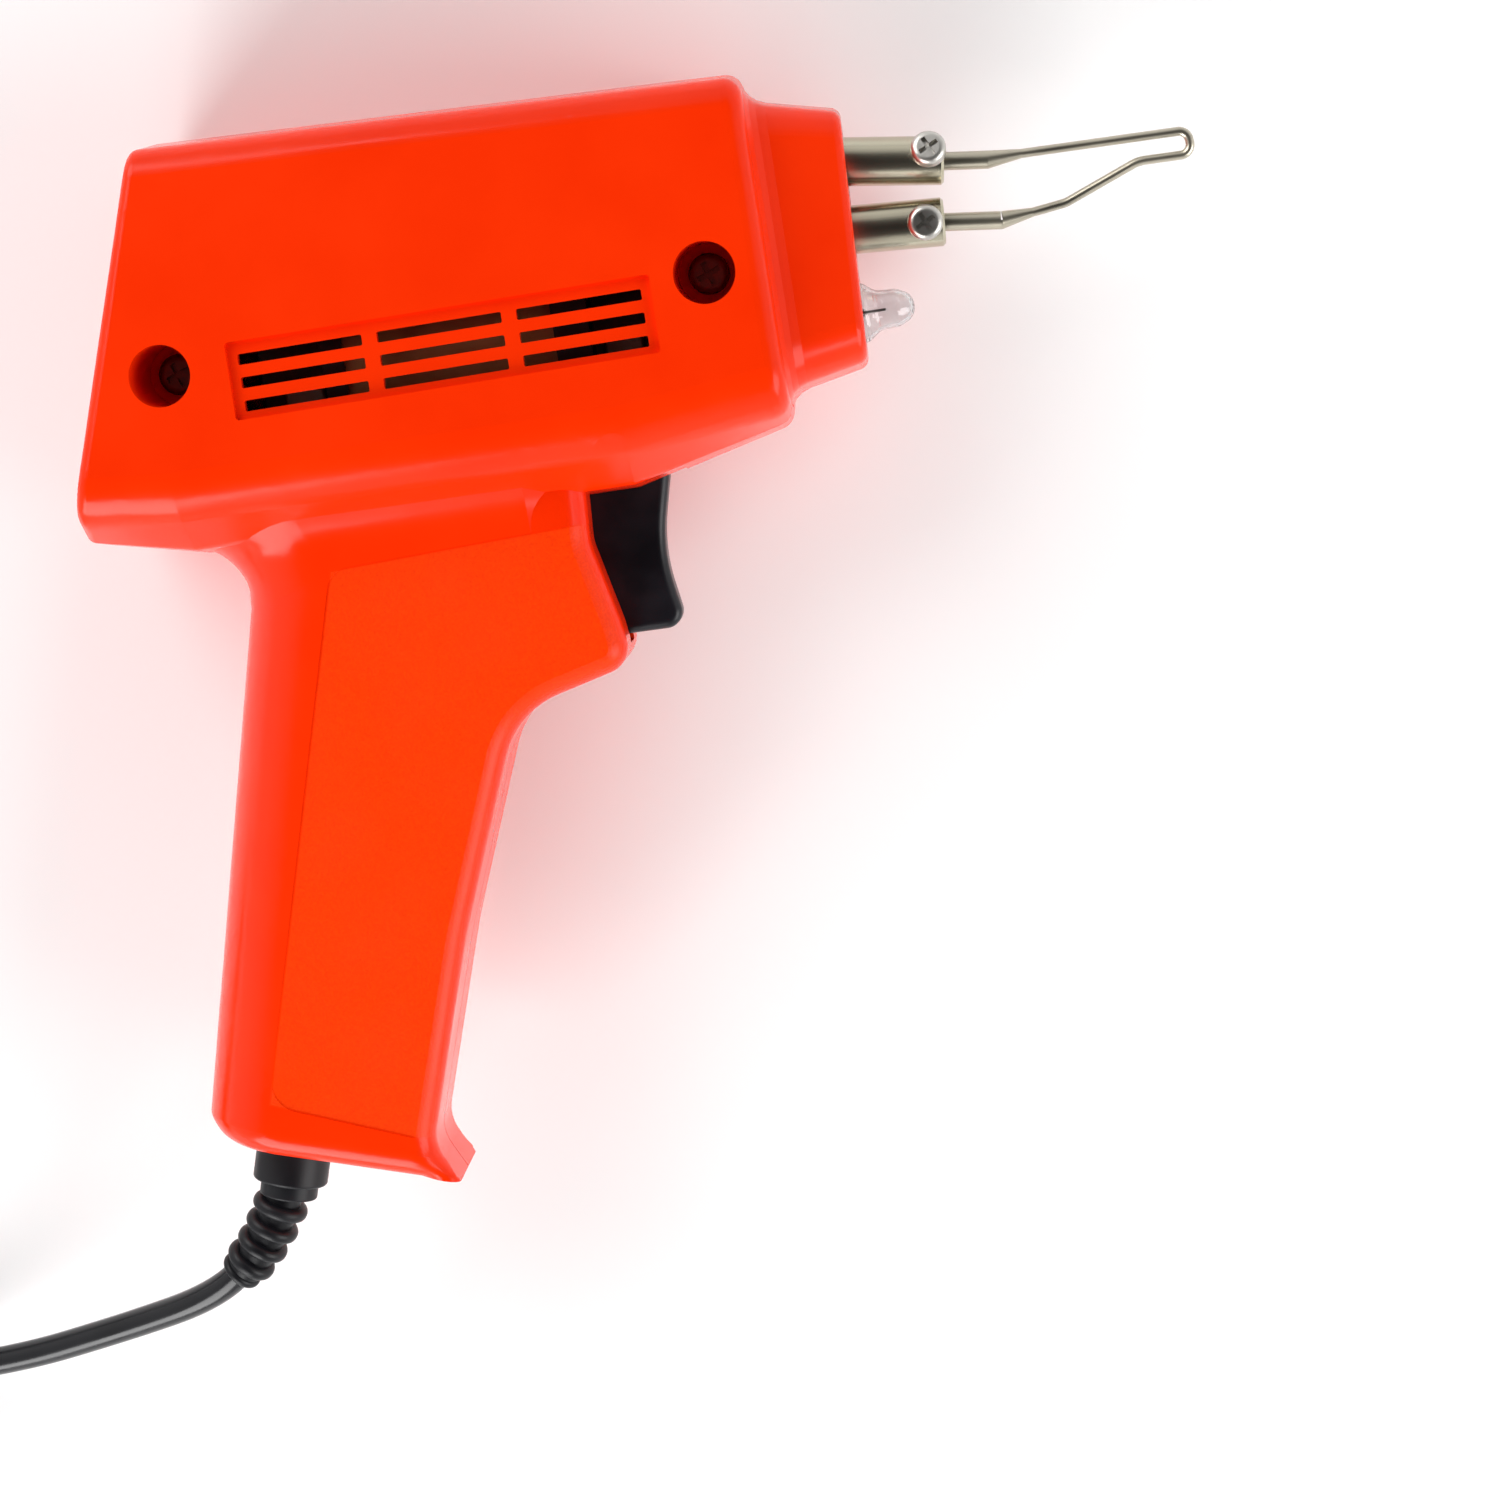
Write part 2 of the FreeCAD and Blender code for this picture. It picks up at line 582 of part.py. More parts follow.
# ---------------------------------------------------------------- transformer
core_u = box(CORE_U0, CORE_U0 + CORE_LIMB, CORE_V0, CORE_V1, -CORE_W, CORE_W)
core_u = core_u.fuse([box(CORE_U0, CORE_U1 - CORE_LIMB, CORE_V0, CORE_V0 + CORE_LIMB, -CORE_W, CORE_W),
                      box(CORE_U0, CORE_U1 - CORE_LIMB, CORE_V1 - CORE_LIMB, CORE_V1, -CORE_W, CORE_W)]).removeSplitter()
core_i = box(CORE_U1 - CORE_LIMB, CORE_U1, CORE_V0, CORE_V1, -CORE_W, CORE_W)
RIVETS = {"rear_top": (-95.3, 31.0), "rear_low": (-95.3, 3.0), "front_top": (-42.3, 31.0), "front_low": (-42.3, 3.0)}
for key, (ru, rv) in RIVETS.items():
    hole = cyl(2.0, (ru, rv, -12), (ru, rv, 12))
    core_u = core_u.cut(hole)
    core_i = core_i.cut(hole)
    rv_s = cyl(2.0, (ru, rv, -CORE_W - 0.3), (ru, rv, CORE_W + 0.3))
    for sgn in (-1, 1):
        head = cyl(3.5, (ru, rv, sgn * CORE_W), (ru, rv, sgn * (CORE_W + 1.3)))
        head = head.makeFillet(0.8, [e for e in head.Edges if near(e, lambda q: abs(abs(q.z) - CORE_W - 1.3) < 0.01)])
        rv_s = rv_s.fuse(head)
    nodes["core_rivet_" + key] = one(rv_s.removeSplitter())
nodes["core_u_stack"] = one(core_u)
nodes["core_i_stack"] = one(core_i)

LV = CORE_V0 + CORE_LIMB / 2                 # middle of the lower limb
BOB_U0, BOB_U1 = -90.7, -47.0


def frame(u0, u1, hv, hw, r, hole_v, hole_w):
    def rr(h, w, rad):
        return [(-h, -w, rad), (h, -w, rad), (h, w, rad), (-h, w, rad)]
    o = Part.Face(rounded(rr(hv, hw, r), lambda a, b: V(u0, LV + a, b))).extrude(V(u1 - u0, 0, 0))
    i = box(u0 - 1, u1 + 1, LV - hole_v, LV + hole_v, -hole_w, hole_w)
    return o.cut(i)


tv, tw = CORE_LIMB / 2 + 0.1, CORE_W + 0.1
bobbin = frame(BOB_U0, BOB_U1, tv + 1.2, tw + 1.2, 0.8, tv, tw)
bobbin = bobbin.fuse([frame(BOB_U0, BOB_U0 + 3.5, 13.2, 17.2, 2.0, tv, tw),
                      frame(BOB_U1 - 5.8, BOB_U1, 13.2, 17.2, 2.0, tv, tw)]).removeSplitter()
nodes["bobbin"] = one(bobbin)
coil = frame(BOB_U0 + 3.5, BOB_U1 - 5.8, 12.0, 16.0, 4.5, tv + 1.2, tw + 1.2)
nodes["primary_coil"] = one(coil)

BAR_T = 3.0
BW0, BW1 = 10.9, 13.9
loop = box(-66.0, -58.0, 18.0, 24.0, -BW1, BW1)
loop = loop.fuse([box(-66.0, -15.5, 19.8, 25.8, BW0, BW1), box(-66.0, -15.5, 17.6, 23.6, -BW1, -BW0),
                  box(ROD_BACK_U, -15.5, 24.6, 34.6, -5.4, BW1), box(ROD_BACK_U, -15.5, 12.0, 22.4, -BW1, 5.4)])
loop = loop.removeSplitter()
rods = {}
SCREW_AT = {"up": (11.5, 16.0), "lo": (9.2, 0.0)}
for key in ("up", "lo"):
    b, e, d = rod_ax[key]
    L = e.sub(b).Length
    rod = Part.makeCylinder(ROD_R, L, b, d)
    rod = rod.makeChamfer(0.45, [x for x in rod.Edges if near(x, lambda q: q.sub(e).dot(d) > -0.01) and x.Closed])
    rod = rod.cut(Part.makeCylinder(BORE_R, BORE_DEPTH, e.sub(d * BORE_DEPTH), d))
    loop = loop.cut(Part.makeCylinder(ROD_R, L + 10, b.sub(d * 5), d))
    su, lean = SCREW_AT[key]
    c = b.add(d * ((su - b.x) / d.x))
    n = V(0, math.sin(math.radians(lean)), math.cos(math.radians(lean)))
    rod = rod.cut(Part.makeCylinder(CLAMP_R + 0.03, 8.0, c, n))
    rods[key] = (one(rod), c, n)
nodes["secondary_loop"] = one(loop)
nodes["rod_upper"] = rods["up"][0]
nodes["rod_lower"] = rods["lo"][0]

for key, name in (("up", "clamp_screw_upper"), ("lo", "clamp_screw_lower")):
    _, c, n = rods[key]
    s0 = Part.makeCylinder(CLAMP_R, 4.3, c.add(n * 1.05), n)
    head = Part.makeCylinder(CLAMP_HEAD_R, 2.2, c.add(n * 5.3), n)
    top_e = [e for e in head.Edges if near(e, lambda q: abs(q.sub(c).dot(n) - 7.5) < 0.01)]
    head = head.makeFillet(1.1, top_e)
    sc = one(s0.fuse(head).removeSplitter())
    ux = V(1, 0, 0)
    uy = n.cross(ux)
    for k in (25.0, 115.0):
        rot = FreeCAD.Rotation(n, k)
        bx = Part.makeBox(3.4, 0.75, 1.5, V(-1.7, -0.375, 0))
        bx.Placement = FreeCAD.Placement(c.add(n * 6.3), rot.multiply(FreeCAD.Rotation(V(0, 0, 1), n)))
        sc = sc.cut(bx)
    nodes[name] = one(sc)

ins = box(-7.2, -3.5, INS_V0 + 0.05, INS_V1 - 0.05, -INS_W + 0.05, INS_W - 0.05)
ins = ins.fuse(box(-7.2, -4.95, INS_V0 - 1.4, INS_V1 + 1.4, -7.0, 7.0)).removeSplitter()
for key in ("up", "lo"):
    b, e, d = rod_ax[key]
    ins = ins.cut(Part.makeCylinder(ROD_R + EPS, 60.0, b, d))
nodes["nose_insulator"] = one(ins)

# ---------------------------------------------------------------- tip
TIP_DEG = -7.2
td = V(math.cos(math.radians(TIP_DEG)), math.sin(math.radians(TIP_DEG)), 0)
TIP_W = -SHANK_OFF
up_end = V(20.8, 23.85, TIP_W)
lo_end = V(21.6, 13.75, TIP_W)
wire_pts = [V(26.6, 23.95, TIP_W), V(53.9, 23.35, TIP_W), V(54.25, 19.45, TIP_W), V(45.3, 19.65, TIP_W),
            V(32.6, 14.85, TIP_W), V(27.0, 14.2, TIP_W)]


def bent(pts, radii, r):
    edges = []
    start = pts[0]
    for i in range(1, len(pts) - 1):
        d1 = pts[i].sub(pts[i - 1])
        d2 = pts[i + 1].sub(pts[i])
        turn = d1.getAngle(d2)
        d1.normalize()
        d2.normalize()
        t = radii[i - 1] * math.tan(turn / 2)
        a, b = pts[i].sub(d1 * t), pts[i].add(d2 * t)
        bis = d2.sub(d1)
        bis.normalize()
        mid = pts[i].add(bis * (radii[i - 1] / math.cos(turn / 2) - radii[i - 1]))
        if a.sub(start).Length > 1e-4:
            edges.append(Part.LineSegment(start, a).toShape())
        edges.append(Part.Arc(a, mid, b).toShape())
        start = b
    edges.append(Part.LineSegment(start, pts[-1]).toShape())
    w = Part.Wire(edges)
    d = pts[1].sub(pts[0])
    d.normalize()
    pipe = w.makePipeShell([Part.Wire([Part.Circle(pts[0], d, r).toShape()])], True, False)
    return pipe if pipe.ShapeType == "Solid" else Part.Solid(pipe)


tipw = bent(wire_pts, [1.7, 1.7, 6.0, 6.0], TIP_WIRE_R)
tip = Part.makeCylinder(SHANK_R, 14.0, up_end.sub(td * 14.0), td)
tip = tip.fuse(Part.makeCylinder(SHANK_R, 16.0, lo_end.sub(td * 16.0), td))
for p, q in ((up_end, wire_pts[0]), (lo_end, wire_pts[-1])):
    d = q.sub(p)
    ln = d.Length
    d.normalize()
    tip = tip.fuse(Part.makeSphere(SHANK_R, p))
    tip = tip.fuse(Part.makeCone(SHANK_R, TIP_WIRE_R, ln, p, d))
    tip = tip.fuse(Part.makeSphere(TIP_WIRE_R, q))
tip = one(tip.fuse(tipw))
nodes["tip"] = tip
print("tip", tip.ShapeType, tip.isValid(), round(tip.Volume, 1))

# ---------------------------------------------------------------- lamp


def revolve(profile, closed_axis=True):
    """Solid of revolution about the lamp axis; profile is (U, radius)."""
    w = Part.makePolygon([V(u, LAMP_V + r, 0) for u, r in profile + [profile[0]]])
    return Part.Face(w).revolve(V(0, LAMP_V, 0), V(1, 0, 0), 360)


socket = revolve([(-19.4, 0), (-19.4, 6.6), (-8.4, 6.6), (-8.4, 4.85), (-17.9, 4.85), (-17.9, 1.3), (-17.2, 1.3), (-17.2, 0)])
nodes["lamp_socket"] = one(socket)
prof = [(-17.0, 0), (-17.0, 1.1), (-16.0, 2.6)]
u = -15.6
prof.append((u, 4.35))
while u < -9.5:
    prof += [(u + 0.5, 4.72), (u + 1.0, 4.35)]
    u += 1.25
prof += [(-8.2, 4.5), (-6.9, 4.55), (-6.5, 5.3), (-4.9, 5.3), (-4.9, 4.62), (-6.0, 4.62), (-6.0, 0)]
cap = revolve(prof)
nodes["bulb_cap"] = one(cap)


GLASS = [(-5.9, 4.6), (-4.4, 4.62), (-3.9, 4.85), (-3.3, 4.97), (-2.7, 4.85), (-2.1, 4.5), (-1.6, 4.08),
         (-1.1, 3.7), (-0.6, 3.44), (0.0, 3.28), (0.8, 3.2), (1.8, 3.17), (2.6, 3.12), (3.1, 2.95), (3.6, 2.68),
         (4.1, 2.45), (4.5, 2.2), (4.85, 1.85), (5.12, 1.45), (5.33, 0.95), (5.46, 0.45), (5.5, 0.0)]
GLASS_T = 0.5
inside = []
for k in range(len(GLASS) - 1, -1, -1):
    gu, gr = GLASS[k]
    if k == len(GLASS) - 1:
        inside.append((gu - GLASS_T, 0.0))
        continue
    pu, pr = GLASS[k - 1] if k else (gu - 1.0, gr)
    qu, qr = GLASS[k + 1]
    tu, tr = qu - pu, qr - pr
    tl = math.hypot(tu, tr)
    if gr < 0.6:
        continue
    inside.append((max(gu + tr / tl * GLASS_T, -5.9) if k else -5.9, gr - tu / tl * GLASS_T if k else gr - GLASS_T))
glass = one(revolve(GLASS + inside))
nodes["bulb_glass"] = glass
fil = cyl(0.22, (-5.9, LAMP_V, -1.4), (0.6, LAMP_V, -1.1)).fuse([
    cyl(0.22, (-5.9, LAMP_V, 1.4), (0.6, LAMP_V, 1.1)), cyl(0.16, (0.5, LAMP_V, -1.25), (0.5, LAMP_V, 1.25)),
    Part.makeSphere(0.75, V(-3.4, LAMP_V, 0)), cyl(0.3, (-3.4, LAMP_V, -1.5), (-3.4, LAMP_V, 1.5))])
nodes["bulb_filament"] = one(fil)

# ---------------------------------------------------------------- trigger and switch
trig = prism([(-50.4, -10.8, 2.2), (-41.9, -10.8, 2.2), (-38.8, -18.4, 0.8), (-42.0, -31.0, 30.0),
              (-39.9, -44.1, 2.8), (-55.2, -43.8, 1.6), (-56.6, -33.5, 0.8), (-56.6, -25.0, 0.8),
              (-53.2, -19.0, 4.0)], -TRIG_W, TRIG_W)
trig = soften(trig, lambda e: near(e, lambda q: abs(abs(q.z) - TRIG_W) < 0.01 and (q.x > -44.5 or q.y < -41.5) and q.y < -17.0),
              (1.5, 1.2, 0.9, 0.6), "trigger edge")
trig = one(trig.cut(cyl(1.56, (PIVOT[0], PIVOT[1], -9), (PIVOT[0], PIVOT[1], 9))))
nodes["trigger"] = trig
nodes["trigger_pin"] = cyl(1.5, (PIVOT[0], PIVOT[1], -7.8), (PIVOT[0], PIVOT[1], 7.8))

PL_V = -29.0
sw = box(SW[0], SW[1], SW[2], SW[3], -SW[4], SW[4])
sw = sw.makeFillet(0.6, [e for e in sw.Edges if near(e, lambda q: abs(abs(q.z) - SW[4]) < 0.01)])
sw = sw.cut(cyl(1.7, (-71.5, PL_V, 0), (-60.0, PL_V, 0)))
nodes["switch_body"] = one(sw)
pl = cyl(1.6, (-67.0, PL_V, 0), (-56.95, PL_V, 0))
pl = pl.makeFillet(0.5, [e for e in pl.Edges if near(e, lambda q: q.x > -57.0)])
nodes["switch_plunger"] = one(pl)
nodes["switch_terminal_a"] = box(-86.0, SW[0], -35.4, -31.0, -0.4, 0.4)
nodes["switch_terminal_b"] = box(-86.0, SW[0], -27.6, -23.2, -0.4, 0.4)
# spring between the trigger and its seat
SPR_V, SPR_R, SPR_WIRE = -41.4, 2.2, 0.32
SPR_U0, SPR_U1 = -67.0, -56.15
hx = Part.makeHelix(1.9, (SPR_U1 - SPR_U0) - 2 * SPR_WIRE, SPR_R)
hx.rotate(V(0, 0, 0), V(0, 1, 0), 90)
hx.translate(V(SPR_U0 + SPR_WIRE, SPR_V, 0))
hw = Part.Wire(hx.Edges)
p0 = hw.Edges[0].valueAt(hw.Edges[0].FirstParameter)
t0 = hw.Edges[0].tangentAt(hw.Edges[0].FirstParameter)
pipe = hw.makePipeShell([Part.Wire([Part.Circle(p0, t0, SPR_WIRE).toShape()])], True, True)
spring = pipe if pipe.ShapeType == "Solid" else Part.Solid(pipe)
print("spring", spring.isValid(), round(spring.Volume, 2))
nodes["trigger_spring"] = spring

# ---------------------------------------------------------------- cord clamp
cl = at_clamp(Part.makeBox(17.0, 6.0, 3.0, V(-8.5, -3.0, 0.9)))
cl = cl.cut(rcyl(CORD_D / 2, -30.0, 0.0))
for q in clamp_pos:
    cl = cl.cut(cyl(1.5, (q.x, q.y, -2.0), (q.x, q.y, 6.0)))
nodes["cord_clamp"] = one(cl)
for k, q in enumerate(clamp_pos):
    s0 = cyl(1.3, (q.x, q.y, -8.0), (q.x, q.y, 4.0)).fuse(cyl(2.4, (q.x, q.y, 3.9), (q.x, q.y, 5.6)))
    s0 = s0.cut(box(q.x - 1.9, q.x + 1.9, q.y - 0.35, q.y + 0.35, 4.8, 6.0))
    nodes["cord_clamp_screw_" + "ab"[k]] = one(s0)

# ---------------------------------------------------------------- housing screws
for name, (bu, bv) in (("housing_screw_rear", SCREW_REAR), ("housing_screw_front", SCREW_FRONT)):
    s0 = cyl(1.5, (bu, bv, -9.5), (bu, bv, RECESS_FLOOR + 0.2))
    head = cyl(3.4, (bu, bv, RECESS_FLOOR), (bu, bv, RECESS_FLOOR + 2.3))
    head = head.makeFillet(1.2, [e for e in head.Edges if near(e, lambda q: q.z > RECESS_FLOOR + 2.29)])
    s0 = s0.fuse(head).removeSplitter()
    for k in (20.0, 110.0):
        bx = Part.makeBox(4.0, 0.9, 2.0, V(-2.0, -0.45, 0))
        bx.Placement = FreeCAD.Placement(V(bu, bv, RECESS_FLOOR + 1.1), FreeCAD.Rotation(V(0, 0, 1), k))
        s0 = s0.cut(bx)
    nodes[name] = one(s0)

# ---------------------------------------------------------------- leads inside
P_IN = along(-20.0)
LEADS = {
    "lead_switch": [(-114.4, -100.8, 1.2), (-107.5, -75.0, 3.0), (-99.0, -48.0, 3.0), (-86.2, -33.2, 1.5)],
    "lead_primary": [(-114.4, -100.8, -1.2), (-108.6, -71.0, -5.0), (-105.5, -36.0, -7.0), (-99.5, -11.0, -9.0), (-90.9, -5.5, -10.0)],
    "lead_switched": [(-86.2, -25.4, 1.5), (-94.0, -20.5, 5.0), (-98.0, -9.0, 9.0), (-90.9, -4.5, 11.0)],
    "lead_lamp": [(-46.8, -5.5, -9.0), (-38.0, -7.5, -9.0), (-28.0, -5.0, -6.0), (-19.6, -0.5, -3.0)],
}
for name, pts in LEADS.items():
    t, _, rr = tube(pts, 1.0, 12.0)
    print(name, t.isValid(), round(t.Volume, 1), [round(x, 1) for x in rr])
    nodes[name] = one(t.cut([nodes["bobbin"], nodes["lamp_socket"]]))

# ---------------------------------------------------------------- into the lying pose
PL = FreeCAD.Placement(V(ORIGIN_X, ORIGIN_Y, REST_Z), LEAN)


def row(p):
    return PL.multVec(p)


# ---------------------------------------------------------------- cord, relief, coil and plug
z_floor = CORD_D / 2
D_OUT = LEAN.multVec(RELIEF_D)              # straight out of the grip
D_LIE = V(-41.0, -13.0, -17.5)              # on its way down to the table
D_LIE.normalize()
BEND = math.acos(D_OUT.dot(D_LIE))


def bent(t):
    """Direction a part t of the way round the bend at the relief."""
    return (D_OUT * math.sin((1 - t) * BEND) + D_LIE * math.sin(t * BEND)) * (1 / math.sin(BEND))


P0 = row(along(-20.0))
P1 = row(along(-5.0))
Q1 = P1.add(bent(0.035) * 15.3)
Q2 = Q1.add(bent(0.35) * 12.1)
Q3 = Q2.add(bent(0.68) * 12.1)
Q4 = Q3.add(bent(1.0) * 20.0)
P2 = Q4.add(V(-25.0, -6.5, -9.5))
P3 = V(P2.x - 34.0, P2.y - 3.0, z_floor)
P4 = V(P3.x - 33.0, P3.y + 1.5, z_floor)
COIL_TURNS = 7.25
COIL_C = V(P4.x, P4.y + COIL_D / 2, COIL_R)
ROUTE = [P0, P1, Q1, Q2, Q3, Q4, P2, P3, P4]
cord, cord_wire, radii = tube(ROUTE, CORD_D / 2)
length = cord_wire.Length
print("cord route (m):", [[round(c / 1000.0, 5) for c in (p.x, p.y, p.z)] for p in ROUTE])
print("cord radii:", [round(x, 1) for x in radii], "length", round(length, 1),
      "volume ratio", round(cord.Volume / (math.pi * (CORD_D / 2) ** 2 * length), 4))
print("coil centre (m):", [round(c / 1000.0, 5) for c in (COIL_C.x, COIL_C.y, COIL_C.z)],
      "length in coil", round(COIL_TURNS * math.pi * COIL_D, 1),
      "whole cord", round(length + COIL_TURNS * math.pi * COIL_D, 1))

bundle = Part.makeTorus(COIL_D / 2, COIL_R, COIL_C, V(0, 0, 1))

# relief: sleeve and rings on the first stretch outside the grip
def at_len(s):
    """Point and direction on the route, s from its inner end (lying pose)."""
    rest = s
    for e in cord_wire.Edges:
        if rest <= e.Length + 1e-9:
            p = e.getParameterByLength(rest)
            return e.valueAt(p), e.tangentAt(p)
        rest -= e.Length
    e = cord_wire.Edges[-1]
    return e.valueAt(e.LastParameter), e.tangentAt(e.LastParameter)


S0 = 20.0                                   # route length at the grip's end face
def disc(s, r, h):
    p, d = at_len(s)
    c = Part.makeCylinder(r, h, p.sub(d * (h / 2)), d)
    return c.makeFillet(h * 0.46, [e for e in c.Edges if e.Closed])


sleeve_edges, gone = [], 0.0
for e in cord_wire.Edges:
    lo, hi = max(0.0, S0 - 4.4 - gone), min(e.Length, S0 + 26.6 - gone)
    if hi - lo > 1e-6:
        sleeve_edges.append(Part.Edge(e.Curve, e.getParameterByLength(lo), e.getParameterByLength(hi)))
    gone += e.Length
sleeve_path = Part.Wire(sleeve_edges)
a0 = at_len(S0 - 4.4)[0]
_, d0 = at_len(S0 - 4.4)
sleeve = sleeve_path.makePipeShell([Part.Wire([Part.Circle(a0, d0, 3.25).toShape()])], True, False)
sleeve = sleeve if sleeve.ShapeType == "Solid" else Part.Solid(sleeve)
rg = row(along(0.0))
rd = LEAN.multVec(RELIEF_D)


def straight(r, s0, s1, f=0.0):
    c = Part.makeCylinder(r, s1 - s0, rg.add(rd * s0), rd)
    if f:
        c = c.makeFillet(f, [e for e in c.Edges if e.Closed and near(e, lambda q: q.sub(rg).dot(rd) > s1 - 0.01)])
    return c


relief = sleeve.fuse([straight(6.6, -4.3, -2.35), straight(4.95, -2.4, 0.2), straight(6.35, 0.02, 6.9, 0.6),
                      straight(4.9, 6.8, 9.5, 0.4)])
for k in range(4):
    relief = relief.fuse(disc(S0 + 11.8 + 3.85 * k, 4.8 - 0.12 * k, 2.5))
relief = relief.fuse(disc(S0 + 26.2, 3.7, 1.6))
bore = cord.fuse(Part.makeCylinder(CORD_D / 2, 10.2, P0.sub(rd * 10.0), rd)).removeSplitter()
relief = one(relief.cut(bore))
both = relief.common(cord)
print("relief and cord overlap", round(both.Volume, 4))
print("relief", relief.ShapeType, relief.isValid(), len(relief.Solids), round(relief.Volume, 1))

# plug lying flat beside the coil, its cord leaving the ring tangentially
PX = COIL_C.x - COIL_D / 2
PLUG_T = 13.6
py0 = COIL_C.y + 4.0                       # end of the plug's own relief
pz = PLUG_T / 2


def plate(y, w, h, r):
    pts = [(-w / 2, -h / 2, r), (w / 2, -h / 2, r), (w / 2, h / 2, r), (-w / 2, h / 2, r)]
    return rounded(pts, lambda a, b: V(PX + a, y, pz + b))


yb = py0 + 27.0
body = Part.makeLoft([plate(yb - 3.0, 10.0, 9.4, 3.6), plate(yb + 5.0, 13.0, 12.0, 4.5), plate(yb + 14.0, 24.0, PLUG_T, 5.6),
                      plate(yb + 22.0, 34.0, PLUG_T, 6.2)], True, True)
body = body.fuse(Part.makeLoft([plate(yb + 22.0, 34.0, PLUG_T, 6.2), plate(yb + 33.0, 35.3, PLUG_T, 6.2)], True, True))
tail = Part.makeCone(3.1, 4.2, 27.0, V(PX, py0, pz), V(0, 1, 0))
body = one(body.fuse(tail).removeSplitter())
zb = body.BoundBox.ZMin
print("plug low", round(zb, 3), body.isValid(), len(body.Solids))
pins = []
for k in (-0.5, 0.5):
    p = V(PX + k * PLUG_PIN_GAP, yb + 33.0, pz)
    c = Part.makeCylinder(PLUG_PIN_R, PLUG_PIN_L, p, V(0, 1, 0))
    c = c.makeFillet(1.0, [e for e in c.Edges if e.Closed and near(e, lambda q: q.y > p.y + PLUG_PIN_L - 0.01)])
    pins.append(c)
print("plug pins base (m):", [[round(c / 1000, 5) for c in (PX + k * PLUG_PIN_GAP, yb + 33.0, pz)] for k in (-0.5, 0.5)])

placed = {}
for name, shape in nodes.items():
    q = shape.copy()
    q.Placement = PL.multiply(q.Placement)
    placed[name] = q
placed["strain_relief"] = relief
placed["cord"] = cord
placed["cord_coil"] = bundle
placed["plug_body"] = body
placed["plug_pin_a"] = pins[0]
placed["plug_pin_b"] = pins[1]

CORD_NODES = ("cord", "cord_coil", "plug_body", "plug_pin_a", "plug_pin_b")
bb = None
for name, q in placed.items():
    if not q.isValid():
        print("NOT VALID", name)
    if len(q.Solids) != 1:
        print("SOLIDS", name, len(q.Solids))
    if name not in CORD_NODES:
        b1 = q.optimalBoundingBox(False, False)
        if bb is None:
            bb = b1
        else:
            bb.add(b1)
print("gun box", [round(x, 3) for x in (bb.XMin, bb.XMax, bb.YMin, bb.YMax, bb.ZMin, bb.ZMax)],
      "centre", round((bb.XMin + bb.XMax) / 2, 3), round((bb.YMin + bb.YMax) / 2, 3))


def show(label, p, vec=False):
    q = LEAN.multVec(p) if vec else row(p)
    f = 1.0 if vec else 1000.0
    print("REF", label, [round(c / f, 6) for c in (q.x, q.y, q.z)])


show("trigger pivot", V(PIVOT[0], PIVOT[1], 0))
show("trigger axis", V(0, 0, -1), True)
show("u axis", V(1, 0, 0), True)
show("v axis", V(0, 1, 0), True)
show("w axis", V(0, 0, 1), True)
show("tip dir", td, True)
show("tip pos", V(20.0, 19.0, TIP_W))
for key in ("up", "lo"):
    show("clamp " + key, rods[key][1])
    show("clamp axis " + key, rods[key][2], True)
show("lamp", V(-2.0, LAMP_V, 0))
show("plunger", V(-57.0, PL_V, 0))
show("side rest", V(-78.0, 12.0, -(side_w(12.0) - 0.03)))
show("origin", V(0, 0, 0))
for name, shape in placed.items():
    shape.exportStep("parts/%s.step" % name)
print("nodes", len(placed))
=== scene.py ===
import math

import bmesh
import bpy
from mathutils import Matrix, Vector


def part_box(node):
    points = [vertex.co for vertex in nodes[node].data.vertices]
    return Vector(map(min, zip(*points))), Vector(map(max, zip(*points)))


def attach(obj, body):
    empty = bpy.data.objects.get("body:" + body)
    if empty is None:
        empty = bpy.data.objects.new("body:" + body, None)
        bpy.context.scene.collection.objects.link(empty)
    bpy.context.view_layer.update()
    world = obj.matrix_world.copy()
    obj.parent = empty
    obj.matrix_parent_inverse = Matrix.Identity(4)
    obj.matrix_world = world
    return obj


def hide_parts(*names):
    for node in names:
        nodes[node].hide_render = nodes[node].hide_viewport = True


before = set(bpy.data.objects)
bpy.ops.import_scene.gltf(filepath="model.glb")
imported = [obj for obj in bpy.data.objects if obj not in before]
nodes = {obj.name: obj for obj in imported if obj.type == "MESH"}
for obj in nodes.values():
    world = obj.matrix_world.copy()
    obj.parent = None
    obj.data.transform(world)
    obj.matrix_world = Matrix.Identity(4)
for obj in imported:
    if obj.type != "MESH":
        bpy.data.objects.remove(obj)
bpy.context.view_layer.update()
scene = bpy.context.scene


# ------------------------------------------------------------------ the gun's own axes
# U along the housing towards the tip, V towards the top of the gun, W out of its right side
LEAN = math.radians(5.0)
CO, SI = math.cos(LEAN), math.sin(LEAN)


def turned(u, v, w=0.0):
    return Vector((u, CO * v + SI * w, -SI * v + CO * w)) / 1000.0


pin_lo, pin_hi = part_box("trigger_pin")
ORIGIN = (Vector(pin_lo) + Vector(pin_hi)) / 2 - turned(-46.0, -13.2)


def gun(u, v, w=0.0):
    """Row-frame point in metres of a gun point in millimetres."""
    return ORIGIN + turned(u, v, w)


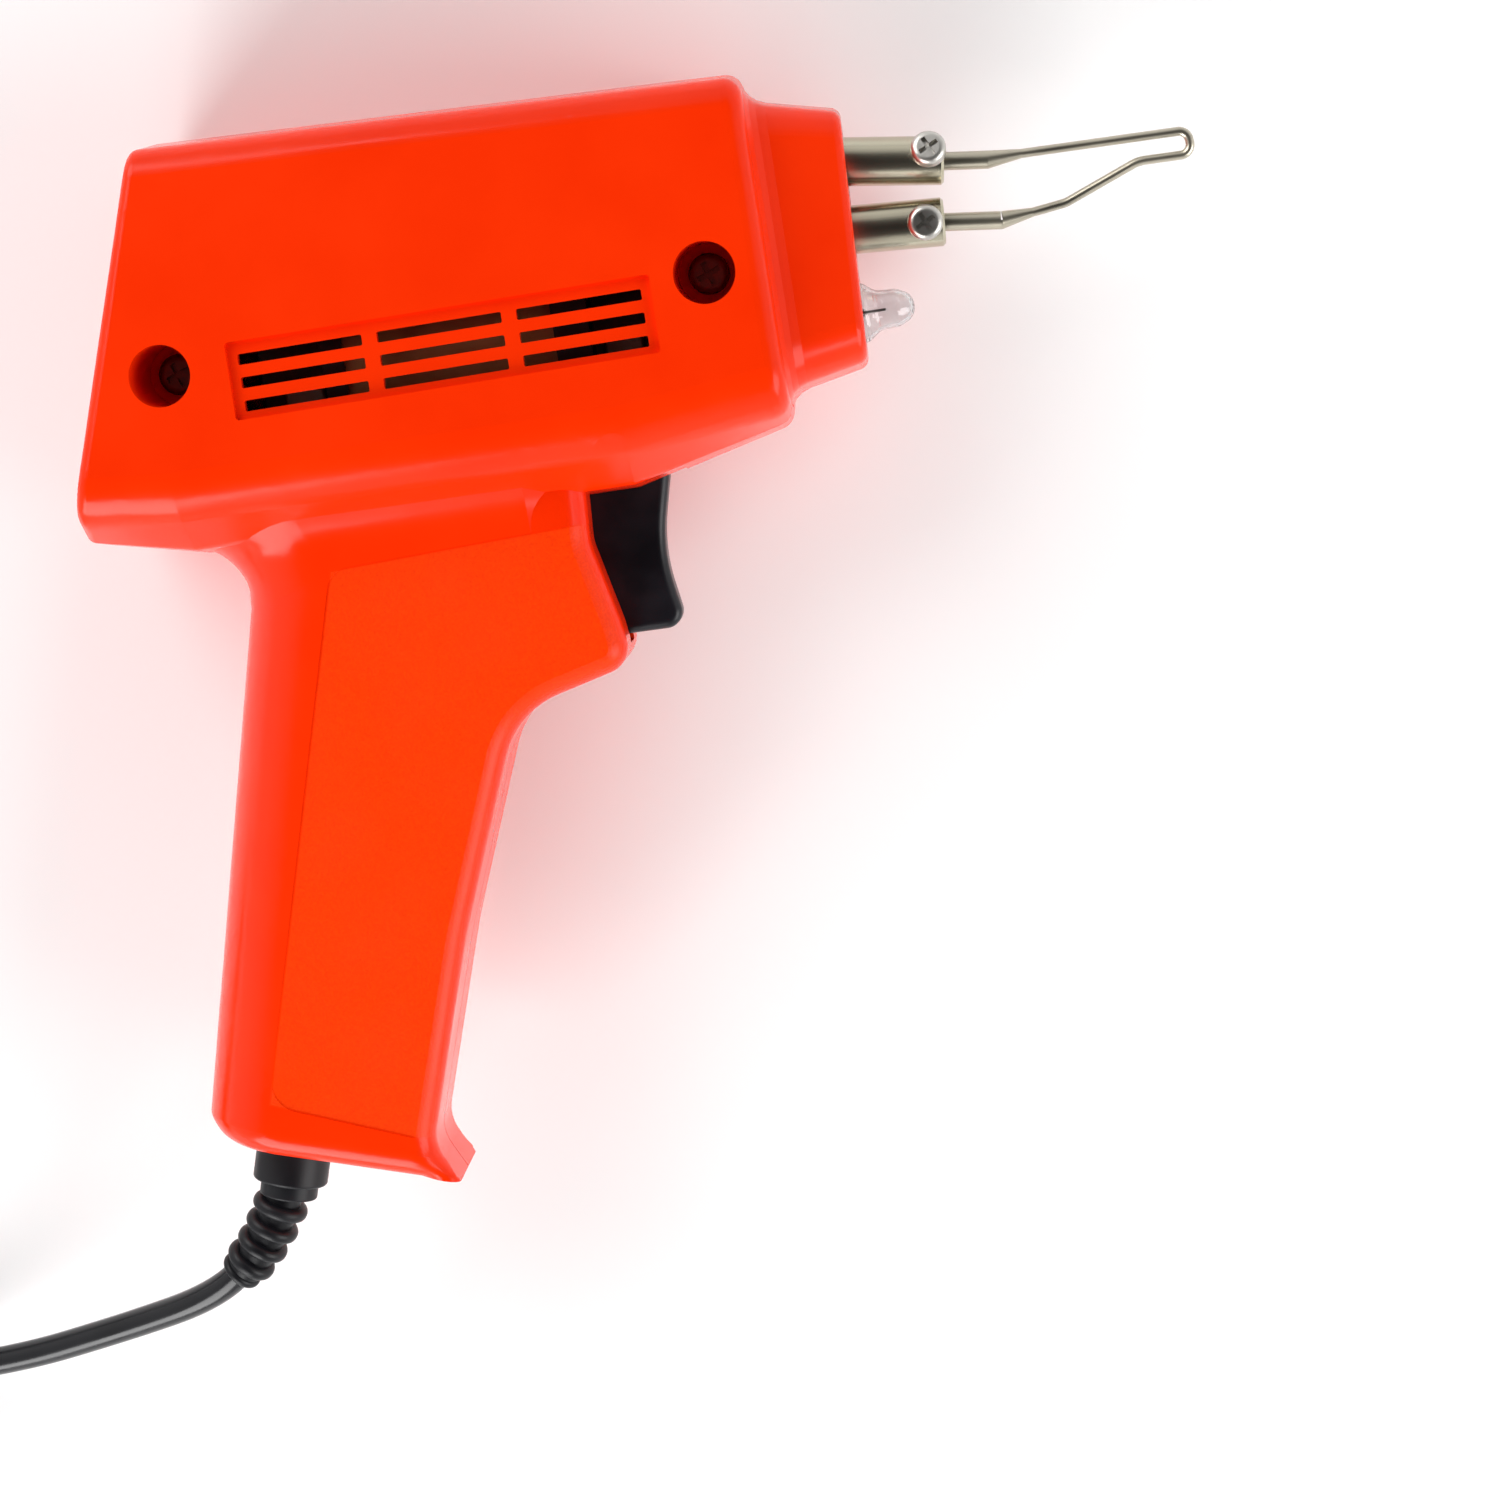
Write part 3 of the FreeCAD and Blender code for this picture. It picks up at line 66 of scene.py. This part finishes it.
# ------------------------------------------------------------------ camera
cam_data = bpy.data.cameras.new("camera")
cam_data.sensor_width = 36.0
cam_data.lens = 89.3785
cam_data.clip_start = 0.01
cam_data.clip_end = 20.0
cam = bpy.data.objects.new("camera", cam_data)
scene.collection.objects.link(cam)
CAM = ORIGIN + Vector((0.0, 0.054037, 0.61764))
cam.matrix_world = Matrix((
    (0.9867373, 0.1534109, 0.0530532, CAM.x),
    (-0.1608564, 0.9679796, 0.1927193, CAM.y),
    (-0.0217892, -0.1986973, 0.9798187, CAM.z),
    (0.0, 0.0, 0.0, 1.0),
))
scene.camera = cam


# ------------------------------------------------------------------ cord
ROUTE = [(-0.07361, -0.05274, 0.03307), (-0.07799, -0.06703, 0.03432), (-0.08293, -0.08148, 0.03532),
         (-0.08993, -0.09128, 0.03416), (-0.09935, -0.09823, 0.0311), (-0.11701, -0.10383, 0.02356),
         (-0.14201, -0.11033, 0.01406), (-0.17601, -0.11333, 0.0025), (-0.20901, -0.11183, 0.0025)]
CORD_D = 0.005
COIL_C = Vector((-0.20901, -0.08433, 0.0076))
COIL_R = 0.0275


def coil_points():
    """Turns laid beside and on each other, a cord's thickness apart."""
    # (radius, height) of each turn's seat: inwards on the surface, outwards on those, inwards on top
    seats = [(0.0325, 0.0026), (0.0274, 0.0026), (0.0223, 0.0026), (0.0249, 0.0070), (0.0300, 0.0070),
             (0.0325, 0.0114), (0.0274, 0.0114), (0.0224, 0.0114)]
    pts = []
    per = 14
    total = int(round(7.25 * per))
    for k in range(total + 1):
        t = k / per
        turn = min(int(t), len(seats) - 1)
        f = t - int(t)
        r, z = seats[turn]
        # pass from one seat to the next over the last part of a turn
        if f > 0.6 and turn + 1 < len(seats):
            g = min((f - 0.6) / 0.3, 1.0)
            g = g * g * (3 - 2 * g)
            r2, z2 = seats[turn + 1]
            r, z = r + (r2 - r) * g, z + (z2 - z) * g
        a = -math.pi / 2 - 2 * math.pi * t
        pts.append((COIL_C.x + r * math.cos(a), COIL_C.y + r * math.sin(a), z))
    return pts


points = [Vector(p) for p in ROUTE[:-1]] + [Vector(p) for p in coil_points()]
points += [Vector((COIL_C.x - 0.0250, COIL_C.y + 0.009, 0.0098)), Vector((COIL_C.x - COIL_R, COIL_C.y + 0.019, 0.0068))]
curve = bpy.data.curves.new("cord_line", "CURVE")
curve.dimensions = "3D"
spl = curve.splines.new("NURBS")
spl.points.add(len(points) - 1)
for p, q in zip(spl.points, points):
    p.co = (q.x, q.y, q.z, 1.0)
    p.radius = CORD_D / 2
spl.order_u = 3
spl.use_endpoint_u = True
spl.resolution_u = 12
curve.resolution_u = 12
curve.bevel_depth = 1.0
curve.bevel_resolution = 6
curve.use_fill_caps = True
cord = bpy.data.objects.new("mains_cord", curve)
scene.collection.objects.link(cord)
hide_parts("cord", "cord_coil")
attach(cord, "base")


# ------------------------------------------------------------------ node helpers
def new_material(name):
    m = bpy.data.materials.new(name)
    m.use_nodes = True
    nt = m.node_tree
    nt.nodes.clear()
    out = nt.nodes.new("ShaderNodeOutputMaterial")
    b = nt.nodes.new("ShaderNodeBsdfPrincipled")
    nt.links.new(b.outputs["BSDF"], out.inputs["Surface"])
    return m, nt, b, out


def add(nt, kind, **values):
    n = nt.nodes.new(kind)
    for k, v in values.items():
        if k.startswith("in_"):
            key = k[3:]
            n.inputs[int(key) if key.isdigit() else key.replace("_", " ")].default_value = v
        else:
            setattr(n, k, v)
    return n


def coords(nt, scale=(1, 1, 1), rotation=(0, 0, 0), location=(0, 0, 0)):
    tc = add(nt, "ShaderNodeTexCoord")
    mp = add(nt, "ShaderNodeMapping")
    mp.inputs["Scale"].default_value = scale
    mp.inputs["Rotation"].default_value = rotation
    mp.inputs["Location"].default_value = location
    nt.links.new(tc.outputs["Object"], mp.inputs["Vector"])
    return mp.outputs["Vector"]


def noise(nt, vec, scale, detail=3.0, rough=0.5):
    n = add(nt, "ShaderNodeTexNoise")
    n.inputs["Scale"].default_value = scale
    n.inputs["Detail"].default_value = detail
    n.inputs["Roughness"].default_value = rough
    nt.links.new(vec, n.inputs["Vector"])
    return n.outputs["Fac"]


def ramp(nt, fac, stops):
    r = add(nt, "ShaderNodeValToRGB")
    e = r.color_ramp.elements
    while len(e) < len(stops):
        e.new(0.5)
    for k, (pos, col) in enumerate(stops):
        e[k].position = pos
        e[k].color = (*col, 1.0) if len(col) == 3 else col
    nt.links.new(fac, r.inputs["Fac"])
    return r.outputs["Color"]


def maprange(nt, fac, a, b, lo=0.0, hi=1.0):
    m = add(nt, "ShaderNodeMapRange")
    m.inputs["From Min"].default_value = lo
    m.inputs["From Max"].default_value = hi
    m.inputs["To Min"].default_value = a
    m.inputs["To Max"].default_value = b
    nt.links.new(fac, m.inputs["Value"])
    return m.outputs["Result"]


def bump(nt, height, strength, distance, normal=None):
    b = add(nt, "ShaderNodeBump")
    b.inputs["Strength"].default_value = strength
    b.inputs["Distance"].default_value = distance
    nt.links.new(height, b.inputs["Height"])
    if normal is not None:
        nt.links.new(normal, b.inputs["Normal"])
    return b.outputs["Normal"]


def plain(name, base, rough, spread=0.06, scale=900.0, metal=0.0, tone=0.12, bump_mm=0.02, stretch=(1, 1, 1),
          spec=0.5, coat=0.0, aniso=0.0):
    """A procedural finish: fine grain, soft tone changes and a roughness that varies."""
    m, nt, b, _ = new_material(name)
    vec = coords(nt, scale=stretch)
    fine = noise(nt, vec, scale, 4.0, 0.6)
    soft = noise(nt, vec, scale * 0.06, 3.0, 0.5)
    lo = tuple(c * (1 - tone) for c in base)
    hi = tuple(min(1.0, c * (1 + tone)) for c in base)
    nt.links.new(ramp(nt, soft, [(0.3, lo), (0.7, hi)]), b.inputs["Base Color"])
    nt.links.new(maprange(nt, soft, rough - spread, rough + spread, 0.3, 0.7), b.inputs["Roughness"])
    if bump_mm:
        nt.links.new(bump(nt, fine, 0.5, bump_mm / 1000.0), b.inputs["Normal"])
    b.inputs["Metallic"].default_value = metal
    b.inputs["Specular IOR Level"].default_value = spec
    b.inputs["Coat Weight"].default_value = coat
    b.inputs["Coat Roughness"].default_value = 0.08
    if aniso:
        b.inputs["Anisotropic"].default_value = aniso
    return m


def paint(name, mat):
    o = nodes[name] if isinstance(name, str) else name
    o.data.materials.clear()
    o.data.materials.append(mat)


# ------------------------------------------------------------------ housing plastic
ORANGE = (0.94, 0.050, 0.0)


def shell_material(name, sign):
    """Glossy moulded plastic; the grip panel inside its fine line is grained."""
    m, nt, b, _ = new_material(name)
    tc = add(nt, "ShaderNodeTexCoord")
    # object coordinates turned back into the gun's own axes, in millimetres
    mp = add(nt, "ShaderNodeMapping", vector_type="TEXTURE")
    mp.inputs["Location"].default_value = ORIGIN
    mp.inputs["Rotation"].default_value = (-LEAN, 0.0, 0.0)
    mp.inputs["Scale"].default_value = (0.001, 0.001, 0.001)
    nt.links.new(tc.outputs["Object"], mp.inputs["Vector"])
    sep = add(nt, "ShaderNodeSeparateXYZ")
    nt.links.new(mp.outputs["Vector"], sep.inputs["Vector"])
    U, Vv, Ww = sep.outputs["X"], sep.outputs["Y"], sep.outputs["Z"]

    def math_node(op, a, c, clamp=False):
        n = add(nt, "ShaderNodeMath", operation=op, use_clamp=clamp)
        for k, x in enumerate((a, c)):
            if x is None:
                continue
            if isinstance(x, (int, float)):
                n.inputs[k].default_value = x
            else:
                nt.links.new(x, n.inputs[k])
        return n.outputs[0]

    def side_of(p, q):
        """Positive to the right of the line from p to q (going round clockwise inside is positive)."""
        dx, dy = q[0] - p[0], q[1] - p[1]
        L = math.hypot(dx, dy)
        nx, ny = dy / L, -dx / L
        c = -(nx * p[0] + ny * p[1])
        return math_node("ADD", math_node("ADD", math_node("MULTIPLY", U, nx), math_node("MULTIPLY", Vv, ny)), c)

    # the grained field: behind its rear edge, over its lower edge and under its top edge it is smooth
    def least(items):
        r = items[0]
        for x in items[1:]:
            r = math_node("MINIMUM", r, x)
        return r
    inside = least([side_of((-120.9, -111.4), (-95.6, -25.2)), side_of((-95.6, -25.2), (-30.0, -23.4)),
                    side_of((-80.0, -127.4), (-120.9, -111.4))])
    side_w = math_node("MULTIPLY", Ww, float(sign))
    m1 = maprange(nt, inside, 0.0, 1.0, 0.0, 0.5)
    m2 = maprange(nt, side_w, 0.0, 1.0, 12.4, 14.2)
    mask = math_node("MULTIPLY", m1, m2)

    vec = mp.outputs["Vector"]
    soft = noise(nt, vec, 0.06, 3.0, 0.5)
    fine = noise(nt, vec, 1.1, 3.0, 0.6)
    grain = noise(nt, vec, 2.6, 2.0, 0.55)
    base = ramp(nt, soft, [(0.3, (0.90, 0.0265, 0.0)), (0.7, (0.94, 0.031, 0.0))])
    matte = ramp(nt, grain, [(0.3, (0.88, 0.036, 0.0)), (0.7, (0.97, 0.050, 0.0))])
    mix = add(nt, "ShaderNodeMix", data_type="RGBA")
    nt.links.new(mask, mix.inputs["Factor"])
    nt.links.new(base, mix.inputs["A"])
    nt.links.new(matte, mix.inputs["B"])
    nt.links.new(mix.outputs["Result"], b.inputs["Base Color"])
    gloss = maprange(nt, soft, 0.17, 0.23, 0.3, 0.7)
    rough = math_node("ADD", gloss, math_node("MULTIPLY", mask, 0.14))
    nt.links.new(rough, b.inputs["Roughness"])
    # moulding: barely wavy skin, plus the panel's grain
    h1 = bump(nt, fine, 0.12, 0.00001)
    hm = math_node("MULTIPLY", grain, mask)
    h2 = bump(nt, hm, 0.55, 0.00009, h1)
    nt.links.new(h2, b.inputs["Normal"])
    b.inputs["Specular IOR Level"].default_value = 0.22
    return m


paint("housing_right", shell_material("shell_right", 1))
paint("housing_left", shell_material("shell_left", -1))

# ------------------------------------------------------------------ other finishes
nickel = plain("nickel", (0.56, 0.52, 0.40), 0.22, 0.05, 700.0, metal=1.0, tone=0.10, bump_mm=0.012, stretch=(0.15, 1, 1))
tinned = plain("tip_plating", (0.50, 0.46, 0.37), 0.28, 0.08, 900.0, metal=1.0, tone=0.14, bump_mm=0.02)
zinc = plain("zinc", (0.78, 0.78, 0.76), 0.22, 0.06, 1500.0, metal=1.0, tone=0.10, bump_mm=0.01)
dark_screw = plain("dark_screw", (0.16, 0.15, 0.14), 0.38, 0.1, 1200.0, metal=0.9, tone=0.25, bump_mm=0.02)
screw_nickel = plain("screw_nickel", (0.60, 0.58, 0.54), 0.36, 0.06, 1500.0, metal=1.0, tone=0.14, bump_mm=0.015)
rivet_steel = plain("rivet_steel", (0.30, 0.27, 0.22), 0.45, 0.08, 1200.0, metal=1.0, tone=0.2, bump_mm=0.02)
copper = plain("copper", (0.80, 0.38, 0.22), 0.34, 0.08, 800.0, metal=1.0, tone=0.16, bump_mm=0.015)
brass = plain("brass", (0.80, 0.58, 0.26), 0.32, 0.08, 900.0, metal=1.0, tone=0.14, bump_mm=0.012)
nylon = plain("black_nylon", (0.012, 0.012, 0.013), 0.42, 0.08, 2500.0, tone=0.25, bump_mm=0.03)
trigger_mat = plain("trigger_plastic", (0.006, 0.006, 0.009), 0.34, 0.05, 2600.0, tone=0.3, bump_mm=0.03, spec=0.35)
rubber = plain("relief_rubber", (0.007, 0.007, 0.009), 0.40, 0.06, 1800.0, tone=0.25, bump_mm=0.02, spec=0.28)
pvc = plain("cord_sheath", (0.007, 0.007, 0.009), 0.22, 0.04, 1400.0, tone=0.3, bump_mm=0.01, spec=0.42)
grey_plastic = plain("switch_grey", (0.45, 0.45, 0.43), 0.42, 0.06, 2200.0, bump_mm=0.02)
lead_mat = plain("lead_pvc", (0.03, 0.07, 0.30), 0.36, 0.06, 1800.0, bump_mm=0.02)
lead_brown = plain("lead_pvc_brown", (0.16, 0.06, 0.02), 0.36, 0.06, 1800.0, bump_mm=0.02)


def laminated():
    m, nt, b, _ = new_material("laminated_steel")
    vec = coords(nt)
    w = add(nt, "ShaderNodeTexWave", wave_type="BANDS", bands_direction="Z")
    w.inputs["Scale"].default_value = 620.0
    w.inputs["Distortion"].default_value = 0.6
    nt.links.new(vec, w.inputs["Vector"])
    soft = noise(nt, vec, 60.0)
    nt.links.new(ramp(nt, soft, [(0.3, (0.05, 0.055, 0.05)), (0.7, (0.12, 0.125, 0.11))]), b.inputs["Base Color"])
    nt.links.new(maprange(nt, w.outputs["Fac"], 0.34, 0.55), b.inputs["Roughness"])
    nt.links.new(bump(nt, w.outputs["Fac"], 0.6, 0.00012), b.inputs["Normal"])
    b.inputs["Metallic"].default_value = 0.6
    return m


def taped():
    """Varnished tape wound over the coil, its edges a few millimetres apart."""
    m, nt, b, _ = new_material("coil_tape")
    vec = coords(nt, rotation=(0, 0, 0.05))
    w = add(nt, "ShaderNodeTexWave", wave_type="BANDS", bands_direction="X", wave_profile="SAW")
    w.inputs["Scale"].default_value = 34.0
    w.inputs["Distortion"].default_value = 0.35
    w.inputs["Detail"].default_value = 2.0
    nt.links.new(vec, w.inputs["Vector"])
    soft = noise(nt, vec, 90.0)
    nt.links.new(ramp(nt, soft, [(0.25, (0.22, 0.105, 0.032)), (0.75, (0.46, 0.26, 0.10))]), b.inputs["Base Color"])
    nt.links.new(maprange(nt, soft, 0.28, 0.5), b.inputs["Roughness"])
    nt.links.new(bump(nt, w.outputs["Fac"], 0.7, 0.00015), b.inputs["Normal"])
    return m


def clear_glass():
    m, nt, b, _ = new_material("lamp_glass")
    vec = coords(nt)
    soft = noise(nt, vec, 300.0)
    nt.links.new(ramp(nt, soft, [(0.2, (0.80, 0.82, 0.83)), (0.8, (0.88, 0.89, 0.89))]), b.inputs["Base Color"])
    nt.links.new(maprange(nt, soft, 0.0, 0.03), b.inputs["Roughness"])
    nt.links.new(bump(nt, soft, 0.2, 0.00004), b.inputs["Normal"])
    b.inputs["Transmission Weight"].default_value = 1.0
    b.inputs["IOR"].default_value = 1.5
    return m


steel_stack = laminated()
for n in ("core_u_stack", "core_i_stack"):
    paint(n, steel_stack)
for n in nodes:
    if n.startswith("core_rivet"):
        paint(n, rivet_steel)
paint("bobbin", nylon)
paint("primary_coil", taped())
paint("secondary_loop", copper)
for n in ("rod_upper", "rod_lower"):
    paint(n, nickel)
for n in ("plug_pin_a", "plug_pin_b"):
    paint(n, nickel)
paint("nose_insulator", nylon)
paint("lamp_socket", brass)
paint("bulb_cap", zinc)
paint("bulb_glass", clear_glass())
paint("bulb_filament", dark_screw)
for n in ("trigger_pin", "trigger_spring", "cord_clamp_screw_a", "cord_clamp_screw_b"):
    paint(n, zinc)
for n in ("clamp_screw_upper", "clamp_screw_lower"):
    paint(n, screw_nickel)
for n in ("housing_screw_rear", "housing_screw_front"):
    paint(n, dark_screw)
paint("switch_body", nylon)
paint("switch_plunger", grey_plastic)
for n in ("switch_terminal_a", "switch_terminal_b"):
    paint(n, brass)
paint("cord_clamp", nylon)
paint("lead_switch", lead_brown)
paint("lead_primary", lead_mat)
paint("lead_switched", lead_brown)
paint("lead_lamp", lead_mat)
paint("strain_relief", rubber)
paint("trigger", trigger_mat)
paint("tip", tinned)
paint("plug_body", pvc)
paint(cord, pvc)

# ------------------------------------------------------------------ smooth shading by edge angle
for n, o in nodes.items():
    me = o.data
    me.shade_smooth()
    bm = bmesh.new()
    bm.from_mesh(me)
    limit = math.radians(28)
    sharp = [False] * len(bm.edges)
    for k, e in enumerate(bm.edges):
        if len(e.link_faces) == 2:
            if e.link_faces[0].normal.angle(e.link_faces[1].normal, 0.0) > limit:
                sharp[k] = True
        else:
            sharp[k] = True
    bm.free()
    at = me.attributes.get("sharp_edge") or me.attributes.new("sharp_edge", "BOOLEAN", "EDGE")
    at.data.foreach_set("value", sharp)

# ------------------------------------------------------------------ floor and light
fm, nt, b, _ = new_material("floor")
vec = coords(nt)
soft = noise(nt, vec, 3.0)
nt.links.new(ramp(nt, soft, [(0.2, (0.93, 0.93, 0.93)), (0.8, (0.96, 0.96, 0.96))]), b.inputs["Base Color"])
b.inputs["Roughness"].default_value = 0.9
b.inputs["Specular IOR Level"].default_value = 0.1
fme = bpy.data.meshes.new("floor")
fbm = bmesh.new()
bmesh.ops.create_grid(fbm, x_segments=8, y_segments=8, size=4.0)
fbm.to_mesh(fme)
fbm.free()
floor = bpy.data.objects.new("floor", fme)
floor.location = (0, 0, -0.0004)
scene.collection.objects.link(floor)
fme.materials.append(fm)

world = bpy.data.worlds.new("studio")
scene.world = world
world.use_nodes = True
wt = world.node_tree
bg = wt.nodes["Background"]
# a pale room with a dim ceiling: bright round the horizon, dark overhead
tc = wt.nodes.new("ShaderNodeTexCoord")
sep = wt.nodes.new("ShaderNodeSeparateXYZ")
wt.links.new(tc.outputs["Generated"], sep.inputs["Vector"])
wr = wt.nodes.new("ShaderNodeValToRGB")
stops = [(0.0, 0.8), (0.34, 0.8), (0.52, 0.60), (0.66, 0.40), (0.80, 0.07), (1.0, 0.025)]
while len(wr.color_ramp.elements) < len(stops):
    wr.color_ramp.elements.new(0.5)
for e, (pos, v) in zip(wr.color_ramp.elements, stops):
    e.position = pos
    e.color = (v, v, v, 1.0)
wt.links.new(sep.outputs["Z"], wr.inputs["Fac"])
wt.links.new(wr.outputs["Color"], bg.inputs["Color"])
bg.inputs["Strength"].default_value = 1.0


def area(name, where, target, size, power, size_y=None):
    l = bpy.data.lights.new(name, "AREA")
    l.energy = power
    l.size = size
    if size_y:
        l.shape = "RECTANGLE"
        l.size_y = size_y
    o = bpy.data.objects.new(name, l)
    o.location = where
    o.rotation_euler = (Vector(target) - Vector(where)).to_track_quat("-Z", "Y").to_euler()
    scene.collection.objects.link(o)
    return o


area("key", (-0.85, 1.25, 0.95), (0, 0, 0), 1.2, 16.5)
area("fill", (1.40, -0.70, 0.90), (0, 0, 0), 1.2, 19.0)
area("low", (-1.00, -1.35, 0.90), (0, 0, 0), 1.2, 29.5)
scene.view_settings.view_transform = "Standard"
